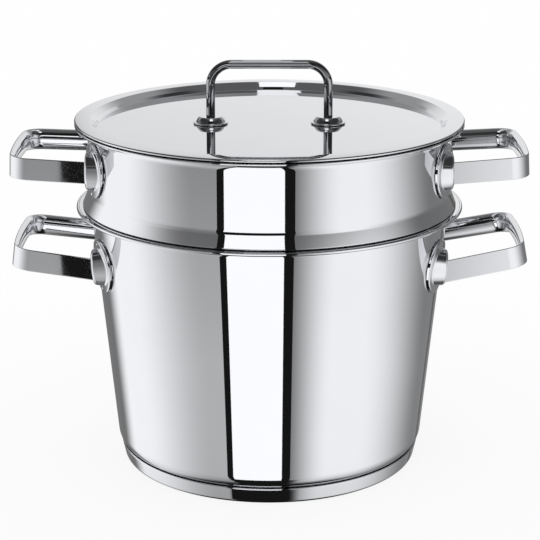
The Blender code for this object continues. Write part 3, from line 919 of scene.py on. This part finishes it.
# The tent is a ball of cards close round the pot, which glossy rays alone see. Bearings and
# heights are degrees seen from its centre: 0 towards the camera, growing to the right. A pair is
# the value low down and high up, and glowTop is a fade between two heights and what it leaves.
# The ceiling goes dim over one pair of heights and a little brighter over another, and is paler
# behind. Levels are shares of plain white; x and y of the top cards and the ceiling's turn along Y
# are metres.
tent = {
    "radius": 0.5,
    "centre": 0.13,
    "lowAndHigh": (-27, 15),
    "leftBox": {
        "level": 1.14,
        "rise": ((-130, -130), (-110, -110)),
        "fall": ((-94, -88), (-37, -44)),
    },
    "rightBox": {"level": 1.12, "rise": ((2, 2), (40, 42)), "fall": ((60, 46), (128, 95))},
    "leftRoom": {"level": (0.56, 0.22), "from": (-120, -80)},
    "rightRoom": {"level": (0.26, 0.18), "from": (20, 60)},
    "backRoom": 0.2,
    "glow": {
        "level": (0.7, 0.91),
        "lean": 0.25,
        "left": ((-152, -148), (-180, -160)),
        "right": ((150, 147), (180, 153)),
    },
    "glowTop": (18, 34, 0.92),
    "backFlag": {"bearing": (138, 144), "level": 0.55},
    "boxTops": {"turn": (-50, 20), "left": (21, 31), "right": (20, 34), "back": (28, 45)},
    "ceiling": {
        "dim": (34, 42),
        "lit": (62, 70),
        "level": (0.15, 0.04, 0.12),
        "behind": 0.35,
        "turn": (0.11, 0.24),
    },
    "table": {"height": (-33, -62), "level": 0.62, "dark": (-54, -68), "darkest": 0.02},
    "black": 0.01,
    "flags": (-28.3, 13.8),
    "darkTable": {"height": -47.4, "bearing": ((-31, -26), (14, 24))},
    "strip": {"bearing": (-24.3, 8.2), "parts": ((-46.4, 7, 1.27), (25, 37, 1.27))},
    "topCardsAbove": 0.3,
    "topCards": (
        {"x": (-0.05, 0.02), "y": (-0.05, 0.12), "level": 1.27},
        {"x": (-0.023, 0.01), "y": (0.12, 0.26), "level": 1.27},
        {"x": (-0.077, 0.05), "y": (-0.22, -0.1), "level": 1.27},
    ),
}


def tentMaterial():
    mat, tree = newTree("tentCards")
    where = addNode(tree, "ShaderNodeTexCoord").outputs["Object"]
    part = addNode(tree, "ShaderNodeSeparateXYZ", {}, {"Vector": where})

    def fill(kind, settings, inputs):
        links = {}
        for key, value in inputs.items():
            if isinstance(value, (int, float)):
                settings[key] = value
            else:
                links[key] = value
        return addNode(tree, kind, settings, links)

    def calc(operation, *values):
        return fill("ShaderNodeMath", {"operation": operation}, dict(enumerate(values))).outputs[0]

    def ease(value, start, end, low=0.0, high=1.0, kind="SMOOTHSTEP"):
        inputs = {"Value": value, "From Min": start, "From Max": end, "To Min": low, "To Max": high}
        return fill("ShaderNodeMapRange", {"interpolation_type": kind}, inputs).outputs["Result"]

    def between(value, low, high):
        return calc("MULTIPLY", calc("GREATER_THAN", value, low), calc("LESS_THAN", value, high))

    def blend(share, under, over):
        return calc("ADD", under, calc("MULTIPLY", share, calc("SUBTRACT", over, under)))

    x, y, z = part.outputs["X"], part.outputs["Y"], part.outputs["Z"]
    bearing = calc("MULTIPLY", calc("ARCTAN2", x, calc("MULTIPLY", y, -1.0)), 180 / math.pi)
    away = calc("SQRT", calc("ADD", calc("MULTIPLY", x, x), calc("MULTIPLY", y, y)))
    height = calc("MULTIPLY", calc("ARCTAN2", z, away), 180 / math.pi)

    def byHeight(pair):
        return ease(height, *tent["lowAndHigh"], *pair, "LINEAR")

    def boxMask(box):
        up = ease(bearing, byHeight(box["rise"][0]), byHeight(box["rise"][1]))
        down = ease(bearing, byHeight(box["fall"][0]), byHeight(box["fall"][1]), 1.0, 0.0)
        return calc("MULTIPLY", up, down)

    # the room's grey walls, a soft box on each side, and a paler wall behind
    level = tent["backRoom"]
    onLeft = calc("LESS_THAN", bearing, 0.0)
    share = calc("MULTIPLY", onLeft, ease(bearing, *tent["leftRoom"]["from"]))
    level = blend(share, level, byHeight(tent["leftRoom"]["level"]))
    share = calc("GREATER_THAN", bearing, 0.0)
    room = byHeight(tent["rightRoom"]["level"])
    room = calc("MULTIPLY", room, ease(bearing, *tent["rightRoom"]["from"]))
    level = blend(share, level, room)
    level = blend(boxMask(tent["leftBox"]), level, tent["leftBox"]["level"])
    level = blend(boxMask(tent["rightBox"]), level, tent["rightBox"]["level"])
    glow = tent["glow"]
    share = calc(
        "ADD",
        ease(bearing, byHeight(glow["left"][0]), byHeight(glow["left"][1])),
        ease(bearing, byHeight(glow["right"][0]), byHeight(glow["right"][1])),
    )
    paler = calc("ADD", byHeight(glow["level"]), calc("MULTIPLY", x, glow["lean"]))
    paler = calc("MULTIPLY", paler, ease(height, *tent["glowTop"][:2], 1.0, tent["glowTop"][2]))
    level = blend(share, level, paler)
    flag = between(bearing, *tent["backFlag"]["bearing"])
    flag = calc("MULTIPLY", flag, 1 - tent["backFlag"]["level"])
    level = calc("MULTIPLY", level, calc("SUBTRACT", 1.0, flag))
    tops = tent["boxTops"]
    onRight = ease(bearing, *tops["turn"])
    foot, head = (blend(onRight, tops["left"][k], tops["right"][k]) for k in (0, 1))
    above = blend(share, ease(height, foot, head), ease(height, *tops["back"]))
    ceiling = tent["ceiling"]
    dark = ease(height, *ceiling["dim"], *ceiling["level"][:2])
    dark = blend(ease(height, *ceiling["lit"]), dark, ceiling["level"][2])
    level = blend(above, level, blend(ease(y, *ceiling["turn"]), dark, ceiling["behind"]))
    table = tent["table"]
    level = calc("MULTIPLY", level, ease(height, *table["height"], 1.0, table["level"]))
    level = calc("MULTIPLY", level, ease(height, *table["dark"], 1.0, table["darkest"]))

    # a white strip in front between two black flags, above a dark table, and cards overhead
    level = blend(between(bearing, *tent["flags"]), level, tent["black"])
    dark = tent["darkTable"]
    below = calc("LESS_THAN", height, dark["height"])
    fromLeft = ease(bearing, *dark["bearing"][0])
    toRight = ease(bearing, *dark["bearing"][1], 1.0, 0.0)
    inDark = calc("MULTIPLY", fromLeft, toRight)
    level = blend(calc("MULTIPLY", below, inDark), level, tent["black"])
    onStrip = between(bearing, *tent["strip"]["bearing"])
    for foot, head, bright in tent["strip"]["parts"]:
        level = blend(calc("MULTIPLY", onStrip, between(height, foot, head)), level, bright)
    for card in tent["topCards"]:
        share = calc("MULTIPLY", between(x, *card["x"]), between(y, *card["y"]))
        share = calc("MULTIPLY", share, calc("GREATER_THAN", z, tent["topCardsAbove"]))
        level = blend(share, level, card["level"])
    light = addNode(tree, "ShaderNodeEmission", {"Strength": 1.0}, {"Color": level})
    addNode(tree, "ShaderNodeOutputMaterial", {}, {"Surface": light.outputs["Emission"]})
    return mat


# Two narrow black flags stand close round the front, just above the lid: the bow's posts mirror
# them by way of the lid's disc. The gap between them leaves the white strip to the bow's bar.
# Radius and heights are metres.
nearFlags = {
    "radius": 0.25,
    "height": (0.276, 0.304),
    "bearings": ((-140, -9), (9, 120)),
    "level": 0.05,
}


def onlyForGloss(piece):
    # a piece of the stage that polished steel mirrors and nothing else sees
    piece.visible_camera = False
    piece.visible_diffuse = False
    piece.visible_shadow = False
    piece.visible_transmission = False
    piece.visible_volume_scatter = False


def makeTent():
    a = np.linspace(-np.pi / 2, np.pi / 2, 49)
    line = np.stack([np.cos(a), np.sin(a)], 1) * tent["radius"] / mm
    piece = makePiece("tent", [turnedGrid(line, 96)], tentMaterial())
    piece.location.z = tent["centre"]
    onlyForGloss(piece)


def makeNearFlags():
    # strips of a cylinder: x = r sin b, y = -r cos b for bearings b, between two heights
    parts = []
    r = nearFlags["radius"] / mm
    for bearings in nearFlags["bearings"]:
        b = np.radians(np.linspace(*bearings, 40))
        x, y = r * np.sin(b), -r * np.cos(b)
        rows = [np.stack([x, y, 0 * b + z / mm], 1) for z in nearFlags["height"]]
        parts.append((np.concatenate(rows), gridQuads(2, len(b), False)))
    mat, tree = newTree("blackFlag")
    light = addNode(tree, "ShaderNodeEmission", {"Color": (*[nearFlags["level"]] * 3, 1.0)})
    addNode(tree, "ShaderNodeOutputMaterial", {}, {"Surface": light.outputs["Emission"]})
    onlyForGloss(makePiece("nearFlags", parts, mat, turnOut=False))


def makeRoom():
    world = bpy.data.worlds.new("whiteRoom")
    bpy.context.scene.world = world
    world.use_nodes = True
    background = world.node_tree.nodes["Background"]
    background.inputs["Color"].default_value = (1, 1, 1, 1)
    background.inputs["Strength"].default_value = 1.0


# The photograph's viewing angle: lens and sensor in mm, place in metres, tilt up from straight down
view = {"lens": 122.67, "sensor": 36.0, "place": (0.0004, -1.217, 0.496), "tilt": 73.27}


def makeCamera():
    lens = bpy.data.cameras.new("camera")
    lens.lens = view["lens"]
    lens.sensor_width = view["sensor"]
    camera = bpy.data.objects.new("camera", lens)
    bpy.context.scene.collection.objects.link(camera)
    camera.location = view["place"]
    camera.rotation_euler = (math.radians(view["tilt"]), 0, 0)
    bpy.context.scene.camera = camera


makeFloor()
makeTent()
makeNearFlags()
makeRoom()
makeCamera()
bpy.context.scene.view_settings.view_transform = "Standard"
print("studio made")

bpy.context.view_layer.update()
